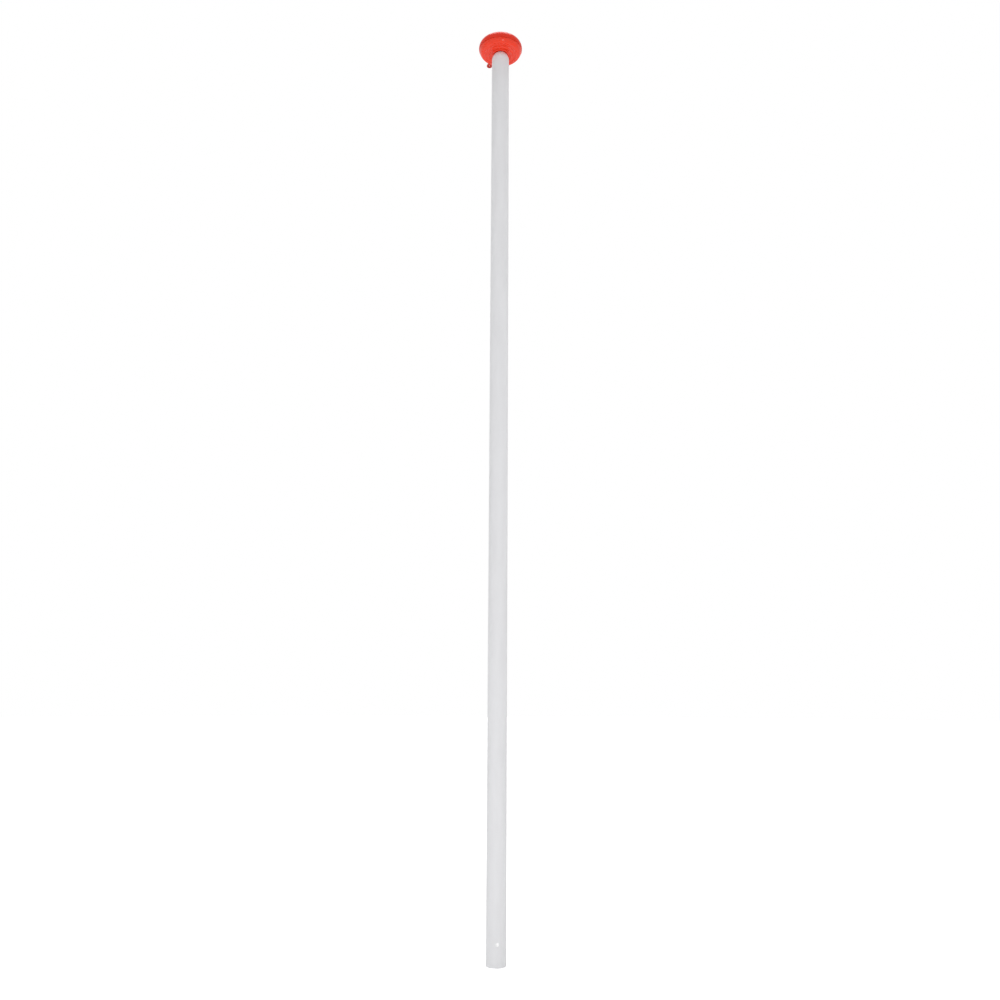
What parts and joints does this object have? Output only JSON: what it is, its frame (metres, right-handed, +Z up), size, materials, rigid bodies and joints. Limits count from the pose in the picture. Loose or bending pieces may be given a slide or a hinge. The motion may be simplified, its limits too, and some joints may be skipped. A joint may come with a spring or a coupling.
{
  "type": "flagpole",
  "caption": "Straight white glass-fibre flagpole, six metres tall, with a closed foot plug and a red flattened-ball cap that carries an eye for the halyard.",
  "frame": {"origin": "centre of the flat lower face of the foot plug, on the pole's axis", "axes": "+Z up the pole's axis; -Y through the front foot bolt"},
  "size_m": [0.305, 0.3359, 6.118],
  "materials": {
    "white_tube": "white gelcoat on glass fibre, semi-gloss",
    "white_plug": "satin white moulded plastic",
    "white_bolt": "gloss white painted steel",
    "red_cap": "glossy orange-red moulded plastic"
  },
  "bodies": {
    "root": {"pole_tube": "white_tube", "foot_plug": "white_plug", "foot_bolt_front": "white_bolt", "foot_bolt_back": "white_bolt", "cap_underside": "red_cap", "cap_dome": "red_cap"}
  },
  "joints": []
}
